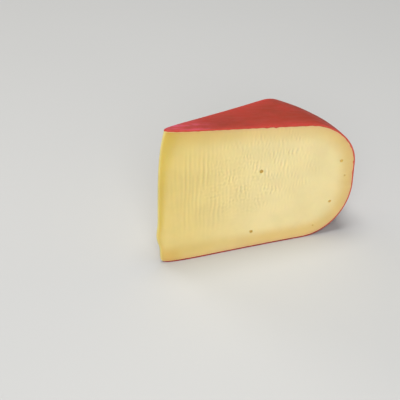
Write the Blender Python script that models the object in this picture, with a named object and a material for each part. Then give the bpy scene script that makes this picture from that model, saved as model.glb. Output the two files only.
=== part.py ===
"""A wedge of gouda cut from a whole wheel, with its coat of red wax.

The wheel's section is turned about the wheel's axis, and one block with the two cut
faces is cut out of both the paste and the wax. The wedge's tip lies on the wheel's axis,
its front cut runs along +X, and it stands on the wheel's flat base at z = 0.
Lengths are in metres and angles in radians.
"""
import math
import random

import bmesh
import bpy
from mathutils import Matrix, Vector

# The whole wheel, measured over the wax
WHEEL_RADIUS = 0.1273
CROWN_HEIGHT = 0.0974
TOP_SLOPE = 0.123
TOP_CORNER_WIDTH, TOP_CORNER_DEPTH = 0.0330, 0.0299
BASE_CORNER_WIDTH, BASE_CORNER_DEPTH = 0.0330, 0.0371
# The wheel has settled: its height falls by this share for each metre behind the front cut
BACK_FALL = 1.75

# The wax coat, and the hairline left between it and the paste
WAX_THICKNESS = 0.0009
WAX_GAP = 0.0003

# The two cuts
WEDGE_ANGLE = math.radians(31)
BOW_AT_BASE, BOW_AT_TOP = 0.0317, 0.0297
BOW_FADE = 0.0279

# The tip's edge, seen from the side: it bellies out, leans back to the top, has a knob low
# down, steps in under it and is rubbed off at the base
TIP_BELLY = 0.0037
TIP_TOP_SETBACK, TIP_TOP_POWER = 0.0052, 6
TIP_STEP, TIP_STEP_HEIGHT, TIP_STEP_BLEND = 0.0016, 0.014, 0.0016
TIP_KNOB, TIP_KNOB_HEIGHT, TIP_KNOB_SPREAD = 0.00095, 0.022, 0.004
TIP_HEEL, TIP_HEEL_FADE = 0.0024, 0.0016

# Eyes in the front cut: distance from the axis along the wedge, height, radius
FRONT_EYES = [
    (0.0611, 0.0573, 0.00115),
    (0.1135, 0.0552, 0.00100),
    (0.1166, 0.0435, 0.00060),
    (0.1081, 0.0252, 0.00100),
    (0.0561, 0.0124, 0.00105),
    (0.0979, 0.0082, 0.00055),
]
# Eyes in the back cut, which lie as they like
BACK_EYE_COUNT = 5
BACK_EYE_SEED = 4
BACK_EYE_REACH = (0.035, 0.112)
BACK_EYE_HEIGHT = (0.014, 0.068)
BACK_EYE_RADIUS = (0.0006, 0.00115)
EYE_SINK = 0.35

# Where the wedge's tip is, so that the origin is under the middle of the wedge
TIP_PLACE = (-0.0615, -0.0317, 0.0)

# How finely the shapes are divided
TURN_STEPS = 144
CORNER_STEPS = 9
FLAT_STEPS = 4
SIDE_STEPS = 14
SIDE_POWER = 2.2
BLOCK_REACH = 0.145
FOOT_ROWS = [-0.004 + 0.002 * row for row in range(17)]
BODY_ROWS = [0.036 + 0.008 * row for row in range(10)]

PASTE_COLOUR = (0.79, 0.66, 0.32, 1.0)
WAX_COLOUR = (0.43, 0.062, 0.042, 1.0)


def clear_scene():
    for thing in list(bpy.data.objects):
        bpy.data.objects.remove(thing, do_unlink=True)


def make_material(name, colour, roughness):
    material = bpy.data.materials.new(name)
    material.use_nodes = True
    shader = material.node_tree.nodes["Principled BSDF"]
    shader.inputs["Base Color"].default_value = colour
    shader.inputs["Roughness"].default_value = roughness
    shader.inputs["Metallic"].default_value = 0.0
    return material


def add_object(name, bm, material=None):
    """Turn a bmesh into an object at the tip's place, a cutter if it has no material."""
    mesh = bpy.data.meshes.new(name)
    bm.to_mesh(mesh)
    bm.free()
    thing = bpy.data.objects.new(name, mesh)
    thing.location = TIP_PLACE
    bpy.context.scene.collection.objects.link(thing)
    if material:
        mesh.materials.append(material)
        mesh.shade_smooth()
        mesh.set_sharp_from_angle(angle=math.radians(35))
    else:
        thing.hide_render = True
        thing.display_type = "WIRE"
    return thing


def add_boolean(thing, operation, cutter):
    boolean = thing.modifiers.new(operation.lower() + " " + cutter.name, "BOOLEAN")
    boolean.operation = operation
    boolean.solver = "EXACT"
    boolean.object = cutter


def wheel_section(inset):
    """The wheel's half section from the top of its axis to the base, (radius, height)."""
    top = CROWN_HEIGHT - inset
    top_start = WHEEL_RADIUS - TOP_CORNER_WIDTH
    base_start = WHEEL_RADIUS - BASE_CORNER_WIDTH
    points = [(top_start * step / FLAT_STEPS, 0.0) for step in range(FLAT_STEPS)]
    points = [(radius, top - TOP_SLOPE * radius) for radius, _ in points]
    quarter = [0.5 * math.pi * step / CORNER_STEPS for step in range(CORNER_STEPS + 1)]
    for turn in quarter:
        radius = top_start + (TOP_CORNER_WIDTH - inset) * math.sin(turn)
        drop = (TOP_CORNER_DEPTH - inset) * (1.0 - math.cos(turn))
        points.append((radius, top - TOP_SLOPE * radius - drop))
    for turn in reversed(quarter):
        radius = base_start + (BASE_CORNER_WIDTH - inset) * math.sin(turn)
        rise = (BASE_CORNER_DEPTH - inset) * (1.0 - math.cos(turn))
        points.append((radius, inset + rise))
    points += [(base_start * (1.0 - step / FLAT_STEPS), inset) for step in range(1, FLAT_STEPS + 1)]
    return points


def make_wheel(inset):
    """A whole wheel, turned from its section and then settled towards the back."""
    bm = bmesh.new()
    corners = [bm.verts.new((radius, 0.0, height)) for radius, height in wheel_section(inset)]
    edges = [bm.edges.new(pair) for pair in zip(corners, corners[1:])]
    bmesh.ops.spin(bm, geom=corners + edges, cent=(0, 0, 0), axis=(0, 0, 1), dvec=(0, 0, 0),
                   angle=2.0 * math.pi, steps=TURN_STEPS, use_merge=True, use_duplicate=False)
    bmesh.ops.remove_doubles(bm, verts=bm.verts, dist=0.00001)
    for vert in bm.verts:
        vert.co.z *= 1.0 - BACK_FALL * vert.co.y
    bmesh.ops.recalc_face_normals(bm, faces=bm.faces)
    return bm


def tip_reach(height):
    """How far the tip stands out in front of the wheel's axis at a height."""
    height = max(height, 0.0)
    setback = TIP_TOP_SETBACK * (height / CROWN_HEIGHT) ** TIP_TOP_POWER
    step = TIP_STEP / (1.0 + math.exp((height - TIP_STEP_HEIGHT) / TIP_STEP_BLEND))
    knob = TIP_KNOB * math.exp(-0.5 * ((height - TIP_KNOB_HEIGHT) / TIP_KNOB_SPREAD) ** 2)
    heel = TIP_HEEL * math.exp(-height / TIP_HEEL_FADE)
    return TIP_BELLY - setback - step + knob - heel


def half_width(along, height):
    """Half the wedge's thickness, a distance along it from the axis, with its bowed faces."""
    behind_tip = max(along + tip_reach(height), 0.0)
    rise = min(max(height / CROWN_HEIGHT, 0.0), 1.0) ** 3
    bow = BOW_AT_BASE + (BOW_AT_TOP - BOW_AT_BASE) * rise
    bowed = bow * math.sqrt(behind_tip) * math.exp(-behind_tip / BOW_FADE)
    return math.tan(0.5 * WEDGE_ANGLE) * max(along, 0.0) + bowed


def cut_point(along, height, side):
    """A point of a cut face: side is -1 on the front cut and 1 on the back cut."""
    middle = 0.5 * WEDGE_ANGLE
    forward = Vector((math.cos(middle), math.sin(middle), 0.0))
    across = Vector((-math.sin(middle), math.cos(middle), 0.0))
    point = forward * along + across * (side * half_width(along, height))
    point.z = height
    return point


def make_block():
    """The closed block between the two cuts, lofted through level sections."""
    bm = bmesh.new()
    shares = [(step / SIDE_STEPS) ** SIDE_POWER for step in range(SIDE_STEPS + 1)]
    rings = []
    for height in FOOT_ROWS + BODY_ROWS:
        start = -tip_reach(height)
        alongs = [start + (BLOCK_REACH - start) * share for share in shares]
        ring = [cut_point(along, height, -1) for along in reversed(alongs[1:])]
        ring += [cut_point(along, height, 1) for along in alongs]
        rings.append([bm.verts.new(point) for point in ring])
    for low, high in zip(rings, rings[1:]):
        for spot in range(len(low)):
            after = (spot + 1) % len(low)
            bm.faces.new((low[spot], low[after], high[after], high[spot]))
    bm.faces.new(rings[0])
    bm.faces.new(rings[-1])
    bmesh.ops.triangulate(bm, faces=bm.faces)
    bmesh.ops.recalc_face_normals(bm, faces=bm.faces)
    return bm


def make_eyes():
    """Balls that open the eyes, each sunk a little behind the cut face it opens in."""
    draw = random.Random(BACK_EYE_SEED)
    eyes = [(along, height, radius, -1) for along, height, radius in FRONT_EYES]
    nearest, farthest = BACK_EYE_REACH
    for spot in range(BACK_EYE_COUNT):
        along = nearest + (farthest - nearest) * (spot + draw.random()) / BACK_EYE_COUNT
        eyes.append((along, draw.uniform(*BACK_EYE_HEIGHT), draw.uniform(*BACK_EYE_RADIUS), 1))
    bm = bmesh.new()
    for along, height, radius, side in eyes:
        face = cut_point(along, height, side)
        inward = (cut_point(along, height, 0) - face).normalized()
        centre = face + inward * radius * EYE_SINK
        bmesh.ops.create_icosphere(bm, subdivisions=2, radius=radius, matrix=Matrix.Translation(centre))
    return bm


def build():
    clear_scene()
    paste_material = make_material("paste", PASTE_COLOUR, 0.5)
    wax_material = make_material("red wax", WAX_COLOUR, 0.35)
    block = add_object("wedge block", make_block())
    core = add_object("wax core", make_wheel(WAX_THICKNESS))
    eyes = add_object("eye balls", make_eyes())

    wax = add_object("wax_coat", make_wheel(0.0), wax_material)
    add_boolean(wax, "DIFFERENCE", core)
    add_boolean(wax, "INTERSECT", block)

    paste = add_object("cheese_paste", make_wheel(WAX_THICKNESS + WAX_GAP), paste_material)
    add_boolean(paste, "INTERSECT", block)
    add_boolean(paste, "DIFFERENCE", eyes)


build()
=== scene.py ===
"""The looks of a gouda wedge: its pale cut paste with a few eyes, and its coat of red wax.

Both pieces repeat the solids' form from the same driving dimensions, with a fine mesh.
The wedge's tip stands at TIP_PLACE, its front cut runs along +X and it rests on z = 0.
Lengths are in metres and angles in radians, unless a name says otherwise.
"""
import math
import random

import bmesh
import bpy
import numpy as np
from mathutils import Matrix, Vector


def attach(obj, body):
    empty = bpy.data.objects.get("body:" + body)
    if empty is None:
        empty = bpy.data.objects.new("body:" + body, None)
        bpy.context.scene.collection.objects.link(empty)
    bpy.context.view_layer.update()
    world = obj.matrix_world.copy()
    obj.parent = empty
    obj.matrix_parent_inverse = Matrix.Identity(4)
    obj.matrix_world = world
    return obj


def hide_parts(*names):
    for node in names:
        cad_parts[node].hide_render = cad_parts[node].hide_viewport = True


MM = 0.001

# The whole wheel, measured over the wax
WHEEL_RADIUS = 0.1273
CROWN_HEIGHT = 0.0974
TOP_SLOPE = 0.123
TOP_CORNER_WIDTH, TOP_CORNER_DEPTH = 0.0330, 0.0299
BASE_CORNER_WIDTH, BASE_CORNER_DEPTH = 0.0330, 0.0371
BACK_FALL = 1.75
WAX_THICKNESS = 0.0009

# The two cuts, with their bowed faces
WEDGE_ANGLE = math.radians(31)
BOW_AT_BASE, BOW_AT_TOP = 0.0317, 0.0297
BOW_FADE = 0.0279
NOSE_REACH = 0.001

# The tip's edge, seen from the side
TIP_PLACE = (-0.0615, -0.0317, 0.0)
TIP_BELLY = 0.0037
TIP_TOP_SETBACK, TIP_TOP_POWER = 0.0052, 6
TIP_STEP, TIP_STEP_HEIGHT, TIP_STEP_BLEND = 0.0016, 0.014, 0.0016
TIP_KNOB, TIP_KNOB_HEIGHT, TIP_KNOB_SPREAD = 0.00095, 0.022, 0.004
TIP_HEEL, TIP_HEEL_FADE = 0.0024, 0.0016

# Eyes in the front cut: distance from the axis along the wedge, height, radius
FRONT_EYES = [
    (0.0611, 0.0573, 0.00115),
    (0.1135, 0.0552, 0.00100),
    (0.1166, 0.0435, 0.00060),
    (0.1081, 0.0252, 0.00100),
    (0.0561, 0.0124, 0.00105),
    (0.0979, 0.0082, 0.00055),
]
# Eyes in the back cut, which lie as they like
BACK_EYE_COUNT = 5
BACK_EYE_SEED = 4
BACK_EYE_REACH = (0.035, 0.112)
BACK_EYE_HEIGHT = (0.014, 0.068)
BACK_EYE_RADIUS = (0.0006, 0.00115)
EYE_SINK = 0.35

# How finely the paste and the wax are divided, and which of their edges stay sharp
PASTE_STEP = 0.6 * MM
WAX_STEP = 0.6 * MM
NOSE_STEPS = 6
PASTE_ACROSS_STEPS = 14
SKIN_ACROSS_STEPS = 60
UNDER_ACROSS_STEPS = 8
WAX_RIM_STEPS = 16
PASTE_SHARP_ANGLE, WAX_SHARP_ANGLE = math.radians(40), math.radians(50)
# Points closer than this are one point of a mesh
JOIN_DISTANCE = 0.0001 * MM
# Rounds in which a point's reach and height, which need each other, settle
SETTLE_ROUNDS = 6
# The section's outline as points, and how many spots are measured against it at a time
OUTLINE_POINTS, WALL_POINTS = 240, 30
BATCH_SIZE = 4000

# The cut faces' relief: long streaks, short dashes and a weave of cells left by the wire, and
# a slow waviness. Each oval is the middle and the reach of where it shows, along the wedge
# and upwards.
MARK_DEPTH = 0.08 * MM
STREAK_PITCH, STREAK_LENGTH = 2.7 * MM, 70.0 * MM
STREAK_SHARE = 0.58
STREAK_OVAL = ((0.026, 0.052), (0.023, 0.030))
DASH_PITCH, DASH_LENGTH = 2.3 * MM, 12.0 * MM
DASH_OVAL = ((0.059, 0.058), (0.034, 0.027))
RUNG_PITCH, RUNG_LENGTH = 3.0 * MM, 7.0 * MM
RUNG_SHARE = 0.35
RUNG_OVAL = ((0.046, 0.050), (0.024, 0.022))
# The marks run slightly bent, and are stronger in some patches than in others
BEND, BEND_LENGTHS = 0.15 * MM, (20 * MM, 14 * MM)
PATCH_MIDDLE, PATCH_SPREAD, PATCH_LIMITS = 0.8, 0.5, (0.2, 1.8)
PATCH_LENGTHS = (13 * MM, 9 * MM)
WAVE_DEPTH, WAVE_LENGTHS = 0.08 * MM, (34 * MM, 40 * MM)
# The relief fades out towards the wax and towards the tip
WAX_BORDER, TIP_BORDER = 3 * MM, 4 * MM

# How far the paste's warmer colours reach, under the wax's skin or behind the tip's edge
RIND_REACH = (2.0 * MM, 14.0 * MM)
# At the foot the rind's colour reaches further: partly rind, partly painted shade low down
BASE_RIND_AND_SHADE_MORE = 3.0 * MM
WAX_NEARNESS_REACH = 1.6 * MM
PALE_REACH = (6.0 * MM, 76.0 * MM)
# A painted highlight: a thin paler line right at the tip's edge
TIP_HIGHLIGHT_REACH = (0.3 * MM, 0.8 * MM)
# The deeper band along the tip, partly the paste's own deeper yellow and partly painted shade
# of the rounded nose: a core and a haze round it, given in shares of its reach, which grows
# with the height. The band is fainter at the foot.
TIP_BAND_REACH = 2.3 * MM
TIP_BAND_WIDENING = 0.09
TIP_BAND_TOP, TIP_BAND_TOP_RISE = 3.0 * MM, (0.065, 0.095)
BAND_CORE_SHARE, BAND_CORE = 0.7, (0.2, 0.9)
BAND_HAZE_SHARE, BAND_HAZE = 0.3, (0.0, 2.2)
BAND_AT_FOOT, BAND_FOOT_RISE = 0.5, (0.005, 0.035)
# The rind's colour is full at the base, where it is partly painted shade, and near the rim, and
# fainter under the crown, along one stretch of the base and in the tip's band
LOW_RISE = (0.004, 0.018)
RIPER_ALONG = (0.085, 0.115)
FAINT_ALONG_START, FAINT_ALONG_END = (0.004, 0.014), (0.030, 0.070)
RIND_UNDER_CROWN = 0.7
RIND_LOST_ALONG, RIND_LOST_IN_BAND = 0.6, 0.4
# An eye's colour reaches a little past its ball
EYE_MARGIN = 1.02

# The wax's unevenness
WAX_SWELL, SWELL_LENGTH = 0.05 * MM, 26 * MM
WAX_DIMPLE, DIMPLE_LENGTH = 0.015 * MM, 6 * MM
MOST_SWELL = 0.12 * MM
# How the knife left the wax's cut edge: bevelled, standing proud by a ragged amount, with a
# ragged lip over the paste that rolls in and is tucked under. The lip and its raggedness grow
# with the height and, by the shares given, away from the tip.
WAX_BEVEL, BEVEL_START = 0.15 * MM, 0.3
WAX_PROUD, PROUD_LENGTH, MOST_PROUD = 0.05 * MM, 5 * MM, 0.1
WAX_LIP, LIP_LENGTH = 0.15 * MM, 6 * MM
LIP_AT_BASE, LIP_START = 0.4, 0.05
WAX_ROLL, ROLL_PROUD = 0.03 * MM, 0.2
TUCK_START, TUCK_END = 0.15 * MM, 0.30 * MM
TUCK_DEPTH = 0.5
RAGGEDNESS, LEAST_RAGGED, RAGGED_SHARES = 0.6, 0.4, (0.35, 0.6)
# How far in from the cut edges a painted highlight of lighter red patches and pink dashes reaches
EDGE_HIGHLIGHT_REACH = 5.0 * MM
# Limits that keep the coat in order where it is thinnest, at the tip
LEAST_HALF_WIDTH = 0.01 * MM
MOST_INWARDS = 0.45

# Where the wax's colours change, in millimetres behind the tip's edge
# Towards the tip the wax carries a painted sheen: a cooler tint, and pink patches with brighter streaks
SHEEN_TINT_BEHIND_TIP = (62.0, 42.0)
SHEEN_BEHIND_TIP = (38.0, 14.0)
# A painted highlight along the cut edges grows to full strength between these distances
EDGE_HIGHLIGHT_BEHIND_TIP, EDGE_HIGHLIGHT_NEAR_TIP = (25.0, 60.0), 0.45
RIM_STRIP_BEHIND_TIP = (90.0, 125.0)
# The heights between which the cut edge's colour changes from the base's darker red, which is
# painted shade, to the top's
TOP_STRIP_RISE = (0.045, 0.065)

# Seeds of the random fields
FRONT_MARK_SEED, BACK_MARK_SEED = 20, 40
WAVE_SEED = 30
SWELL_SEED, DIMPLE_SEED = 61, 62
BACK_EDGE_SEED, FRONT_EDGE_SEED = 71, 81

# The camera stands where the photograph was taken from
CAMERA_PLACE = (-0.21463, -0.57702, 0.43910)
CAMERA_PITCH = math.radians(34.645)
CAMERA_HEADING = math.radians(17.99)
CAMERA_ROLL = math.radians(1.047)
CAMERA_LENS = 101.3

# The studio: half the floor's width, how bright the surroundings are, and what the lamps face
FLOOR_HALF = 3.0
SKY_STRENGTH = 0.2
LAMP_TARGET = (0.0, 0.0, 0.04)


def clip(values, low=0.0, high=1.0):
    return np.minimum(np.maximum(values, low), high)


def smooth_step(values, start, stop):
    """0 up to start and 1 from stop, with a soft rise between them."""
    share = clip((values - start) / (stop - start))
    return share * share * (3.0 - 2.0 * share)


def srgb(red, green, blue):
    """A colour given as it looks on a screen, 0 to 255, as the linear one of a shader."""
    linear = []
    for value in (red / 255, green / 255, blue / 255):
        linear.append(value / 12.92 if value < 0.04045 else ((value + 0.055) / 1.055) ** 2.4)
    return (*linear, 1.0)


def tip_reach(height):
    """How far the tip stands out in front of the wheel's axis at a height."""
    height = np.maximum(height, 0.0)
    setback = TIP_TOP_SETBACK * (height / CROWN_HEIGHT) ** TIP_TOP_POWER
    step = TIP_STEP / (1.0 + np.exp((height - TIP_STEP_HEIGHT) / TIP_STEP_BLEND))
    knob = TIP_KNOB * np.exp(-0.5 * ((height - TIP_KNOB_HEIGHT) / TIP_KNOB_SPREAD) ** 2)
    heel = TIP_HEEL * np.exp(-height / TIP_HEEL_FADE)
    return TIP_BELLY - setback - step + knob - heel


def half_width(along, height):
    """Half the wedge's thickness, a distance along it from the axis, with its bowed faces."""
    behind_tip = np.maximum(along + tip_reach(height), 0.0)
    rise = clip(height / CROWN_HEIGHT) ** 3
    bow = BOW_AT_BASE + (BOW_AT_TOP - BOW_AT_BASE) * rise
    bowed = bow * np.sqrt(behind_tip) * np.exp(-behind_tip / BOW_FADE)
    straight = math.tan(0.5 * WEDGE_ANGLE) * np.maximum(along, 0.0)
    return straight * np.sqrt(clip(behind_tip / NOSE_REACH)) + bowed


def top_height(radius, inset):
    start = WHEEL_RADIUS - TOP_CORNER_WIDTH
    reach = clip((radius - start) / (TOP_CORNER_WIDTH - inset))
    drop = (TOP_CORNER_DEPTH - inset) * (1.0 - np.sqrt(1.0 - reach * reach))
    return CROWN_HEIGHT - inset - TOP_SLOPE * radius - drop


def base_height(radius, inset):
    start = WHEEL_RADIUS - BASE_CORNER_WIDTH
    reach = clip((radius - start) / (BASE_CORNER_WIDTH - inset))
    return inset + (BASE_CORNER_DEPTH - inset) * (1.0 - np.sqrt(1.0 - reach * reach))


def wedge_points(share, rise, across, inset):
    """Points of the wedge, inset from the wheel's skin.

    share runs from the tip (0) to the rim (1), rise from the base (0) to the top (1) and
    across from the front cut (-1) to the back one (1).
    """
    share, rise, across, inset = np.broadcast_arrays(share, rise, across, inset)
    middle = 0.5 * WEDGE_ANGLE
    height = CROWN_HEIGHT * rise
    end = np.full(share.shape, WHEEL_RADIUS * math.cos(middle))
    for _ in range(SETTLE_ROUNDS):
        start = -tip_reach(height)
        end_half = across * half_width(end, height)
        end = np.sqrt((WHEEL_RADIUS - inset) ** 2 - end_half ** 2)
        along = start + (end - start) * share
        aside = across * half_width(along, height)
        radius = np.hypot(along, aside)
        back = along * math.sin(middle) + aside * math.cos(middle)
        fall = 1.0 - BACK_FALL * back
        low = base_height(radius, inset) * fall
        high = top_height(radius, inset) * fall
        height = low + (high - low) * rise
    x = along * math.cos(middle) - aside * math.sin(middle)
    return np.stack([x, back, height], axis=-1) + np.array(TIP_PLACE)


def wedge_places(points):
    """Along, aside and height of points, and how far behind the tip's edge they are."""
    middle = 0.5 * WEDGE_ANGLE
    x, y, height = (points - np.array(TIP_PLACE)).T
    along = x * math.cos(middle) + y * math.sin(middle)
    aside = y * math.cos(middle) - x * math.sin(middle)
    return along, aside, height, np.maximum(along + tip_reach(height), 0.0)


def skin_depth(points):
    """How deep points lie under the wheel's skin, measured in the wheel's half section."""
    radii = np.linspace(0.0, WHEEL_RADIUS, OUTLINE_POINTS)
    wall_ends = base_height(WHEEL_RADIUS, 0.0), top_height(WHEEL_RADIUS, 0.0)
    outline = np.concatenate([
        np.stack([radii, top_height(radii, 0.0)], 1),
        np.stack([np.full(WALL_POINTS, WHEEL_RADIUS), np.linspace(*wall_ends, WALL_POINTS)], 1),
        np.stack([radii, base_height(radii, 0.0)], 1),
    ])
    x, y, height = (points - np.array(TIP_PLACE)).T
    spots = np.stack([np.hypot(x, y), height / (1.0 - BACK_FALL * y)], 1)
    depth = np.empty(len(spots))
    for first in range(0, len(spots), BATCH_SIZE):
        batch = slice(first, first + BATCH_SIZE)
        gaps = spots[batch, None] - outline[None]
        depth[batch] = np.sqrt((gaps ** 2).sum(2).min(1))
    return depth


def waves(places, lengths, seed, count=48, spread=0.35):
    """A smooth random field of about unit size: plane waves of the lengths given by axis."""
    draw = np.random.default_rng(seed)
    total = np.zeros(len(places))
    for _ in range(count):
        turn = draw.normal(size=len(lengths))
        turn /= np.linalg.norm(turn)
        pace = 2.0 * math.pi * turn / np.array(lengths) * draw.uniform(1.0 - spread, 1.0 + spread)
        total += np.cos(places @ pace + draw.uniform(0.0, 2.0 * math.pi))
    return total / math.sqrt(0.5 * count)


def streaks(along, height, pitch, length, seed, count=64, spread=0.3):
    """A random field of about unit size made of streaks that run in the second direction."""
    draw = np.random.default_rng(seed)
    total = np.zeros(len(along))
    for _ in range(count):
        pace = draw.uniform(1.0 - spread, 1.0 + spread) / pitch
        ripple = np.cos(2.0 * math.pi * (pace * along + draw.random()))
        total += ripple * np.cos(2.0 * math.pi * (draw.normal() * height / length + draw.random()))
    return total / math.sqrt(0.25 * count)


def oval(along, height, place_and_reach):
    """1 in the middle of an oval, falling softly to 0 past its reach."""
    (middle_along, middle_height), (reach_along, reach_height) = place_and_reach
    far = np.hypot((along - middle_along) / reach_along, (height - middle_height) / reach_height)
    return np.exp(-far ** 4)


def join_grids(grids):
    """One mesh from grids of points: equal points are shared and collapsed faces dropped."""
    points = np.concatenate([grid.reshape(-1, 3) for grid in grids])
    quads = []
    first = 0
    for grid in grids:
        rows, columns = grid.shape[:2]
        index = first + np.arange(rows * columns).reshape(rows, columns)
        corners = [index[:-1, :-1], index[1:, :-1], index[1:, 1:], index[:-1, 1:]]
        quads.append(np.stack(corners, -1).reshape(-1, 4))
        first += rows * columns
    keys = np.round(points / JOIN_DISTANCE).astype(np.int64)
    _, kept, shared = np.unique(keys, axis=0, return_index=True, return_inverse=True)
    faces = []
    for quad in shared.reshape(-1)[np.concatenate(quads)].tolist():
        face = [corner for spot, corner in enumerate(quad) if corner != quad[spot - 1]]
        if len(face) > 2 and len(set(face)) == len(face):
            faces.append(face)
    return points[kept], faces, kept


def add_mesh(name, points, faces):
    mesh = bpy.data.meshes.new(name)
    mesh.from_pydata(points.tolist(), [], faces)
    bm = bmesh.new()
    bm.from_mesh(mesh)
    bmesh.ops.recalc_face_normals(bm, faces=bm.faces)
    bm.to_mesh(mesh)
    bm.free()
    thing = bpy.data.objects.new(name, mesh)
    bpy.context.scene.collection.objects.link(thing)
    return thing


def mesh_points(mesh):
    flat = np.empty(3 * len(mesh.vertices), dtype=np.float32)
    mesh.vertices.foreach_get("co", flat)
    return flat.reshape(-1, 3).astype(float)


def store(mesh, name, values):
    """Keep one number for each vertex, which the materials read by name."""
    attribute = mesh.attributes.new(name, "FLOAT", "POINT")
    attribute.data.foreach_set("value", np.asarray(values, dtype=np.float32))


def even_shares(step):
    """Shares from tip to rim: close at the tip's nose, even along the cut and round the corners."""
    corner = 0.5 * (TOP_CORNER_WIDTH + BASE_CORNER_WIDTH)
    flat = WHEEL_RADIUS - corner
    flat_steps = round(flat / step)
    corner_steps = round(0.5 * math.pi * corner / step)
    nose = (np.arange(NOSE_STEPS) / NOSE_STEPS) ** 2
    straight = np.arange(1, flat_steps)
    turn = 0.5 * math.pi * np.arange(corner_steps + 1) / corner_steps
    alongs = [nose * flat / flat_steps, straight * flat / flat_steps, flat + corner * np.sin(turn)]
    return np.concatenate(alongs) / WHEEL_RADIUS


def wire_marks(along, height, side):
    """The marks that the wire left on a cut face, of about unit size outwards."""
    places = np.stack([along, height], 1)
    seed = FRONT_MARK_SEED if side < 0 else BACK_MARK_SEED
    bent = along + BEND * waves(places, BEND_LENGTHS, seed + 1)
    patches = PATCH_MIDDLE + PATCH_SPREAD * waves(places, PATCH_LENGTHS, seed + 2)
    patches = clip(patches, *PATCH_LIMITS)
    long_streaks = streaks(bent, height, STREAK_PITCH, STREAK_LENGTH, seed)
    dashes = streaks(bent, height, DASH_PITCH, DASH_LENGTH, seed + 3)
    rungs = streaks(height, along, RUNG_PITCH, RUNG_LENGTH, seed + 4)
    marks = patches * dashes * oval(along, height, DASH_OVAL)
    marks += patches * RUNG_SHARE * rungs * oval(along, height, RUNG_OVAL)
    return marks + STREAK_SHARE * long_streaks * oval(along, height, STREAK_OVAL)


def eye_balls():
    """Centre and radius of the ball that opens each eye."""
    draw = random.Random(BACK_EYE_SEED)
    eyes = [(along, height, radius, -1) for along, height, radius in FRONT_EYES]
    nearest, farthest = BACK_EYE_REACH
    for spot in range(BACK_EYE_COUNT):
        along = nearest + (farthest - nearest) * (spot + draw.random()) / BACK_EYE_COUNT
        eyes.append((along, draw.uniform(*BACK_EYE_HEIGHT), draw.uniform(*BACK_EYE_RADIUS), 1))
    middle = 0.5 * WEDGE_ANGLE
    balls = []
    for along, height, radius, side in eyes:
        aside = side * (half_width(along, height) - radius * EYE_SINK)
        x = along * math.cos(middle) - aside * math.sin(middle)
        y = along * math.sin(middle) + aside * math.cos(middle)
        balls.append((np.array([x, y, height]) + np.array(TIP_PLACE), radius))
    return balls


def open_eyes(paste):
    bm = bmesh.new()
    for centre, radius in eye_balls():
        bmesh.ops.create_icosphere(bm, subdivisions=4, radius=radius, matrix=Matrix.Translation(centre))
    balls = bpy.data.meshes.new("eye balls")
    bm.to_mesh(balls)
    bm.free()
    cutter = bpy.data.objects.new("eye balls", balls)
    bpy.context.scene.collection.objects.link(cutter)
    boolean = paste.modifiers.new("eyes", "BOOLEAN")
    boolean.operation = "DIFFERENCE"
    boolean.object = cutter
    cut = bpy.data.meshes.new_from_object(paste.evaluated_get(bpy.context.evaluated_depsgraph_get()))
    paste.modifiers.clear()
    paste.data = cut
    bpy.data.objects.remove(cutter, do_unlink=True)


def shape_paste():
    """The paste's surface with the relief of its cut faces, before the eyes are opened."""
    share = even_shares(PASTE_STEP)[:, None]
    rise = np.linspace(0.0, 1.0, round(CROWN_HEIGHT / PASTE_STEP) + 1)
    across = np.linspace(-1.0, 1.0, PASTE_ACROSS_STEPS + 1)[None, :]
    inset = WAX_THICKNESS
    front = wedge_points(share, rise[None, :], -1.0, inset)
    back = wedge_points(share, rise[None, :], 1.0, inset)
    top = wedge_points(share, 1.0, across, inset)
    base = wedge_points(share, 0.0, across, inset)
    rim = wedge_points(1.0, rise[:, None], across, inset)
    points, faces, kept = join_grids([front, back, top, base, rim])

    along, _, height, behind_tip = wedge_places(points)
    depth = skin_depth(points) - inset
    border = clip(depth / WAX_BORDER) * clip(behind_tip / TIP_BORDER)
    sheet = front.size // 3
    middle = 0.5 * WEDGE_ANGLE
    for side, chosen in ((-1, kept < sheet), (1, (kept >= sheet) & (kept < 2 * sheet))):
        places = np.stack([along[chosen], height[chosen]], 1)
        lift = WAVE_DEPTH * waves(places, WAVE_LENGTHS, WAVE_SEED + side)
        lift += MARK_DEPTH * wire_marks(along[chosen], height[chosen], side)
        lift *= side * border[chosen]
        points[chosen, 0] -= lift * math.sin(middle)
        points[chosen, 1] += lift * math.cos(middle)
    return add_mesh("paste", points, faces)


def store_marks(mesh, points):
    along, aside, height, _ = wedge_places(points)
    front_marks = wire_marks(along, height, -1)
    back_marks = wire_marks(along, height, 1)
    store(mesh, "marks", np.where(aside < 0, front_marks, back_marks))


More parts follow.
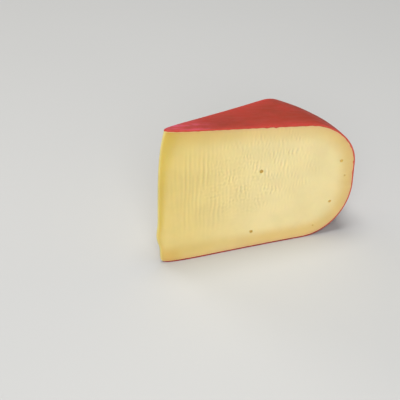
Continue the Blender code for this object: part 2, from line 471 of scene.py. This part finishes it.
def store_tints(mesh, points):
    """How strongly each of the paste's colours shows, from where its points lie."""
    along, _, height, behind_tip = wedge_places(points)
    depth = skin_depth(points) - WAX_THICKNESS
    # The tip's band is partly painted shade of the rounded nose
    band_reach = TIP_BAND_REACH + TIP_BAND_WIDENING * height
    band_reach += TIP_BAND_TOP * smooth_step(height, *TIP_BAND_TOP_RISE)
    band = BAND_CORE_SHARE * (1.0 - smooth_step(behind_tip / band_reach, *BAND_CORE))
    band += BAND_HAZE_SHARE * (1.0 - smooth_step(behind_tip / band_reach, *BAND_HAZE))
    # Near the foot the rind's colour is fuller and reaches further, partly as painted shade
    low = 1.0 - smooth_step(height, *LOW_RISE)
    ripe_rim_and_shaded_foot = np.maximum(smooth_step(along, *RIPER_ALONG), low)
    fainter = low * smooth_step(along, *FAINT_ALONG_START) * (1.0 - smooth_step(along, *FAINT_ALONG_END))
    rind_and_foot_shade = 1.0 - smooth_step(depth - BASE_RIND_AND_SHADE_MORE * low, *RIND_REACH)
    rind_and_foot_shade *= RIND_UNDER_CROWN + (1.0 - RIND_UNDER_CROWN) * ripe_rim_and_shaded_foot
    rind_and_foot_shade *= (1.0 - RIND_LOST_ALONG * fainter) * (1.0 - RIND_LOST_IN_BAND * band)
    above_foot = smooth_step(height, *BAND_FOOT_RISE)
    store(mesh, "rind_and_foot_shade", rind_and_foot_shade)
    store(mesh, "wax_nearness", np.exp(-depth / WAX_NEARNESS_REACH))
    store(mesh, "paleness", smooth_step(behind_tip, *PALE_REACH))
    store(mesh, "tip_band", band * (BAND_AT_FOOT + (1.0 - BAND_AT_FOOT) * above_foot))
    # The tip's very edge gets a painted highlight
    store(mesh, "tip_highlight", 1.0 - smooth_step(behind_tip, *TIP_HIGHLIGHT_REACH))


def store_eyes(mesh, points):
    """Inside each eye its radius, as a share of the largest one's, and 0 elsewhere."""
    balls = eye_balls()
    largest = max(radius for _, radius in balls)
    sizes = []
    for centre, radius in balls:
        inside = np.linalg.norm(points - centre, axis=1) < EYE_MARGIN * radius
        sizes.append(inside * radius / largest)
    store(mesh, "eye", np.max(sizes, axis=0))


def make_paste():
    paste = shape_paste()
    open_eyes(paste)
    mesh = paste.data
    points = mesh_points(mesh)
    store_marks(mesh, points)
    store_tints(mesh, points)
    store_eyes(mesh, points)
    mesh.shade_smooth()
    mesh.set_sharp_from_angle(angle=PASTE_SHARP_ANGLE)
    return paste


def make_wax():
    """The coat: one closed section after another, from the crown's tip round the rim to the base's."""
    edge = even_shares(WAX_STEP)
    down = np.linspace(1.0, 0.0, WAX_RIM_STEPS + 1)[1:-1]
    share = np.concatenate([edge, np.ones(len(down)), edge[::-1]])[:, None]
    rise = np.concatenate([np.ones(len(edge)), down, np.zeros(len(edge))])[:, None]
    front_edge = wedge_points(share, rise, -1.0, 0.0)
    back_edge = wedge_points(share, rise, 1.0, 0.0)
    half = np.maximum(0.5 * np.linalg.norm(front_edge - back_edge, axis=2), LEAST_HALF_WIDTH)
    lip_size = WAX_LIP * clip(share / LIP_START) * (LIP_AT_BASE + (1.0 - LIP_AT_BASE) * rise)
    rougher = LEAST_RAGGED + (1.0 - LEAST_RAGGED) * smooth_step(share, *RAGGED_SHARES) * rise
    rougher *= RAGGEDNESS

    def inwards(distance):
        """The across of points this far in from the cuts."""
        return 1.0 - np.minimum(distance / half, MOST_INWARDS)

    def ragged(length, seed):
        """A factor of about 1 that varies from section to section."""
        run = np.arange(len(share))[:, None] * WAX_STEP
        return np.exp(rougher * waves(run, (length,), seed)[:, None])

    def columns(across, inset, cut=0.0, edge_highlight=0.0):
        """Columns of the coat's section: their across, inset, cut and painted edge highlight in each row."""
        return np.stack(np.broadcast_arrays(across, inset, cut, edge_highlight), axis=-1)

    def cut_edge(side, seed):
        """The knife's cut from the skin to the underside, with the lip that it drew out."""
        proud = 1.0 + np.minimum(WAX_PROUD * ragged(PROUD_LENGTH, seed) / half, MOST_PROUD)
        rolled = 1.0 - ROLL_PROUD + ROLL_PROUD * proud
        lip = lip_size * ragged(LIP_LENGTH, seed + 1)
        start = BEVEL_START * WAX_BEVEL
        return [
            columns(side * inwards(start), start, BEVEL_START),
            columns(side * proud, WAX_BEVEL, 1.0),
            columns(side * proud, WAX_THICKNESS, 1.0),
            columns(side * proud, WAX_THICKNESS + lip, 1.0),
            columns(side * rolled, WAX_THICKNESS + lip + WAX_ROLL, 1.0),
            columns(side * inwards(TUCK_START), WAX_THICKNESS + TUCK_DEPTH * lip, 1.0),
            columns(side * inwards(TUCK_END), WAX_THICKNESS),
        ]

    skin_across = np.linspace(-1.0, 1.0, SKIN_ACROSS_STEPS + 1)[None, :] * inwards(WAX_BEVEL)
    places = wedge_points(share, rise, skin_across, 0.0).reshape(-1, 3)
    swell = WAX_SWELL * waves(places, (SWELL_LENGTH,) * 3, SWELL_SEED)
    swell += WAX_DIMPLE * waves(places, (DIMPLE_LENGTH,) * 3, DIMPLE_SEED)
    swell = np.minimum(swell, MOST_SWELL).reshape(skin_across.shape) * (rise > 0.0)
    # A painted highlight on the skin, strongest next to the cut edges
    edge_highlight = np.exp((np.abs(skin_across) - 1.0) * half / EDGE_HIGHLIGHT_REACH)
    skin = columns(skin_across, -swell, 0.0, edge_highlight)
    under_across = np.linspace(1.0, -1.0, UNDER_ACROSS_STEPS + 1)[None, 1:-1]
    under = columns(under_across * inwards(TUCK_END), WAX_THICKNESS)
    back_cut = cut_edge(1, BACK_EDGE_SEED)
    front_cut = cut_edge(-1, FRONT_EDGE_SEED)
    ring = [skin, *back_cut, under, *reversed(front_cut), skin[:, :1]]
    across, inset, cut, edge_highlight = np.moveaxis(np.concatenate(ring, axis=1), -1, 0)
    points, faces, kept = join_grids([wedge_points(share, rise, across, inset)])
    wax = add_mesh("wax", points, faces)
    store(wax.data, "cut", cut.reshape(-1)[kept])
    store(wax.data, "edge_highlight", edge_highlight.reshape(-1)[kept])
    _, _, _, behind_tip = wedge_places(points)
    store(wax.data, "behind_tip_mm", behind_tip / MM)
    wax.data.shade_smooth()
    wax.data.set_sharp_from_angle(angle=WAX_SHARP_ANGLE)
    return wax


class Graph:
    """A material's nodes, added one at a time. An input takes a number, a colour or a socket."""

    def __init__(self, name):
        self.material = bpy.data.materials.new(name)
        self.material.use_nodes = True
        self.tree = self.material.node_tree
        self.shader = self.tree.nodes["Principled BSDF"]

    def put(self, socket, value):
        """Link a socket to an input, or set the input to a constant."""
        if isinstance(value, bpy.types.NodeSocket):
            self.tree.links.new(value, socket)
        else:
            socket.default_value = value

    def add(self, kind, inputs, output=0, **settings):
        node = self.tree.nodes.new("ShaderNode" + kind)
        for setting, value in settings.items():
            setattr(node, setting, value)
        for key, value in inputs.items():
            self.put(node.inputs[key], value)
        return node.outputs[output]

    def value(self, name):
        return self.add("Attribute", {}, "Fac", attribute_name=name)

    def place(self):
        return self.add("TexCoord", {}, "Object")

    def stretch(self, scale):
        return self.add("Mapping", {"Vector": self.place(), "Scale": scale})

    def noise(self, scale, detail=2.0, vector=None):
        inputs = {"Vector": vector or self.place(), "Scale": scale, "Detail": detail}
        return self.add("TexNoise", inputs, "Fac")

    def fade(self, value, start, stop, low=0.0, high=1.0):
        inputs = {"Value": value, "From Min": start, "From Max": stop, "To Min": low, "To Max": high}
        return self.add("MapRange", inputs, interpolation_type="SMOOTHSTEP")

    def maths(self, operation, first, second=0.0):
        return self.add("Math", {0: first, 1: second}, operation=operation)

    def mix(self, factor, first, second, blend="MIX"):
        inputs = {0: factor, 6: first, 7: second}
        return self.add("Mix", inputs, 2, data_type="RGBA", blend_type=blend)

    def bump(self, height, strength, distance, under=None):
        inputs = {"Height": height, "Strength": strength, "Distance": distance}
        if under is not None:
            inputs["Normal"] = under
        return self.add("Bump", inputs)

    def finish(self, **inputs):
        for name, value in inputs.items():
            self.put(self.shader.inputs[name.replace("_", " ")], value)
        return self.material


def paste_material():
    g = Graph("cheese paste")
    yellow, cream = srgb(228, 205, 130), srgb(240, 222, 164)
    colour = g.mix(g.value("paleness"), yellow, cream)
    # A deeper yellow along the tip: partly the paste's own colour, partly painted shade of the rounded nose
    deep_yellow = srgb(214, 187, 90)
    colour = g.mix(g.value("tip_band"), colour, deep_yellow)
    warmer, pinker = (0.895, 0.785, 0.58, 1.0), (1.0, 0.82, 0.93, 1.0)
    # The rind's warmer colour; at the foot it is partly painted shade
    colour = g.mix(g.value("rind_and_foot_shade"), colour, warmer, "MULTIPLY")
    colour = g.mix(g.value("wax_nearness"), colour, pinker, "MULTIPLY")
    pale_edge, tip_highlight_colour = srgb(236, 208, 150), srgb(220, 203, 128)
    # Right at the wax's edge the paste turns to a pale cream line
    colour = g.mix(g.fade(g.value("wax_nearness"), 0.7, 0.95), colour, pale_edge)
    # A painted highlight along the tip's very edge
    colour = g.mix(g.value("tip_highlight"), colour, tip_highlight_colour)
    tone_and_mark_shade = g.fade(g.noise(70.0, detail=3.0), 0.3, 0.7, low=0.97, high=1.03)
    # The marks also tint the paste: partly a smear of fat along them, partly painted shade of their relief
    tone_and_mark_shade = g.maths("MULTIPLY", tone_and_mark_shade, g.fade(g.value("marks"), -2.5, 2.5, low=0.895, high=1.095))
    colour = g.mix(1.0, colour, g.add("CombineColor", {0: tone_and_mark_shade, 1: tone_and_mark_shade, 2: tone_and_mark_shade}), "MULTIPLY")
    small_eye, large_eye = srgb(224, 193, 115), srgb(211, 175, 86)
    eye_tone = g.mix(g.fade(g.value("eye"), 0.85, 0.95), small_eye, large_eye)
    colour = g.mix(g.fade(g.value("eye"), 0.0, 0.4), colour, eye_tone)
    grain = g.noise(1400.0, detail=3.0)
    pores = g.noise(420.0)
    rough = g.fade(grain, 0.3, 0.7, low=0.42, high=0.56)
    soft = g.bump(pores, strength=0.12, distance=0.4 * MM)
    return g.finish(
        Base_Color=colour, Roughness=rough,
        Normal=g.bump(grain, strength=0.10, distance=0.1 * MM, under=soft),
        Subsurface_Weight=0.35, Subsurface_Radius=(1.0, 0.55, 0.22), Subsurface_Scale=3.0 * MM,
        Specular_IOR_Level=0.35,
    )


def wax_material():
    g = Graph("red cheese wax")
    behind_tip = g.value("behind_tip_mm")
    red, rosier_red = srgb(148, 55, 39), srgb(160, 56, 45)
    colour = g.mix(g.fade(g.noise(45.0, detail=3.0), 0.38, 0.62), red, rosier_red)
    # A painted sheen near the tip: a cooler tint, pink patches and brighter pink streaks
    sheen_tint = (0.89, 0.97, 1.07, 1.0)
    colour = g.mix(g.fade(behind_tip, *SHEEN_TINT_BEHIND_TIP), colour, sheen_tint, "MULTIPLY")
    patches = g.fade(g.noise(160.0), 0.3, 0.6, low=0.35, high=1.0)
    tip_sheen = g.maths("MULTIPLY", g.fade(behind_tip, *SHEEN_BEHIND_TIP), patches)
    dull_pink, bright_pink = srgb(176, 69, 70), srgb(194, 84, 106)
    colour = g.mix(tip_sheen, colour, dull_pink)
    sheen_streaks = g.fade(g.noise(300.0, vector=g.stretch((0.16, 1.0, 1.0))), 0.48, 0.62)
    colour = g.mix(g.maths("MULTIPLY", tip_sheen, sheen_streaks), colour, bright_pink)
    # A painted highlight along the cut edges: lighter red patches, and pink dashes nearest to the edge
    highlight_along = g.fade(behind_tip, *EDGE_HIGHLIGHT_BEHIND_TIP, low=EDGE_HIGHLIGHT_NEAR_TIP)
    edge_highlight = g.maths("MULTIPLY", g.value("edge_highlight"), highlight_along)
    highlight_patches = g.fade(g.noise(110.0, vector=g.stretch((0.5, 1.0, 1.0))), 0.30, 0.55)
    light_red, deep_red = srgb(176, 63, 51), srgb(182, 56, 55)
    colour = g.mix(g.maths("MULTIPLY", edge_highlight, highlight_patches), colour, light_red)
    dashes = g.fade(g.noise(420.0, vector=g.stretch((0.25, 1.0, 1.0))), 0.46, 0.60)
    nearest_edge = g.maths("POWER", edge_highlight, 2.0)
    colour = g.mix(g.maths("MULTIPLY", nearest_edge, dashes), colour, deep_red)
    # The cut strip's darker red low down is painted shade; it turns lighter towards the top
    dark_strip, base_strip = srgb(160, 42, 40), srgb(178, 52, 48)
    top_strip, rim_strip = srgb(194, 74, 61), srgb(212, 92, 74)
    strip = g.mix(g.fade(g.noise(150.0), 0.4, 0.6), dark_strip, base_strip)
    height = g.add("SeparateXYZ", {"Vector": g.place()}, "Z")
    strip = g.mix(g.fade(height, *TOP_STRIP_RISE), strip, top_strip)
    strip = g.mix(g.fade(behind_tip, *RIM_STRIP_BEHIND_TIP), strip, rim_strip)
    colour = g.mix(g.value("cut"), colour, strip)
    grain = g.noise(900.0)
    smear = g.noise(220.0, vector=g.stretch((0.4, 1.0, 1.0)))
    rough = g.fade(smear, 0.3, 0.7, low=0.46, high=0.62)
    smeared = g.bump(smear, strength=0.15, distance=0.3 * MM)
    return g.finish(
        Base_Color=colour, Roughness=rough,
        Normal=g.bump(grain, strength=0.08, distance=0.1 * MM, under=smeared),
        Subsurface_Weight=0.12, Subsurface_Radius=(1.0, 0.2, 0.12), Subsurface_Scale=1.5 * MM,
        Specular_IOR_Level=0.1,
    )


def floor_material():
    g = Graph("floor")
    grey, lighter_grey = (0.48, 0.48, 0.47, 1.0), (0.52, 0.52, 0.51, 1.0)
    return g.finish(Base_Color=g.mix(g.noise(3.0), grey, lighter_grey), Roughness=0.7)


def make_camera():
    data = bpy.data.cameras.new("camera")
    data.lens = CAMERA_LENS
    camera = bpy.data.objects.new("camera", data)
    tilt = Matrix.Rotation(0.5 * math.pi - CAMERA_PITCH, 4, "X")
    turn = Matrix.Rotation(-CAMERA_HEADING, 4, "Z")
    roll = Matrix.Rotation(CAMERA_ROLL, 4, "Z")
    camera.matrix_world = Matrix.Translation(CAMERA_PLACE) @ turn @ tilt @ roll
    bpy.context.scene.collection.objects.link(camera)
    bpy.context.scene.camera = camera


def make_lamp(name, place, size, power, colour=(1.0, 1.0, 1.0)):
    data = bpy.data.lights.new(name, "AREA")
    data.shape = "DISK"
    data.size = size
    data.energy = power
    data.color = colour
    lamp = bpy.data.objects.new(name, data)
    lamp.location = place
    lamp.rotation_euler = (Vector(LAMP_TARGET) - Vector(place)).to_track_quat("-Z", "Y").to_euler()
    bpy.context.scene.collection.objects.link(lamp)


def make_studio():
    corners = FLOOR_HALF * np.array([(-1.0, -1.0, 0.0), (1.0, -1.0, 0.0), (1.0, 1.0, 0.0), (-1.0, 1.0, 0.0)])
    floor = add_mesh("floor", corners, [(0, 1, 2, 3)])
    floor.data.materials.append(floor_material())
    world = bpy.data.worlds.new("studio")
    world.use_nodes = True
    background = world.node_tree.nodes["Background"]
    background.inputs["Color"].default_value = (1.0, 1.0, 1.0, 1.0)
    background.inputs["Strength"].default_value = SKY_STRENGTH
    bpy.context.scene.world = world
    bpy.context.scene.view_settings.view_transform = "Standard"
    make_lamp("key", place=(-0.04, 0.0, 1.35), size=0.7, power=13.2)
    make_lamp("fill", place=(-0.45, -1.40, 1.05), size=1.0, power=21.0)
    make_lamp("back", place=(-0.9, 1.45, 0.55), size=0.9, power=11.0, colour=(1.0, 0.97, 0.92))


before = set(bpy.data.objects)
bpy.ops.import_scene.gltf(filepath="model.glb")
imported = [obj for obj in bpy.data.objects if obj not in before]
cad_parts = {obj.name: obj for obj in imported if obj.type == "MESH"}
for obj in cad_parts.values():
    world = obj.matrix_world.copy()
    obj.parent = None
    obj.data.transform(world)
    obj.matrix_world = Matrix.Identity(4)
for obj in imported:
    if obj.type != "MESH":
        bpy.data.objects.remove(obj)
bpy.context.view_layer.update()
make_studio()
make_camera()
for piece, node, slot, material in (
    (make_paste(), "cheese_paste", "cheese_paste", paste_material()),
    (make_wax(), "wax_coat", "red_wax", wax_material()),
):
    piece.data.materials.clear()
    piece.data.materials.append(material)
    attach(piece, "root")
    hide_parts(node)
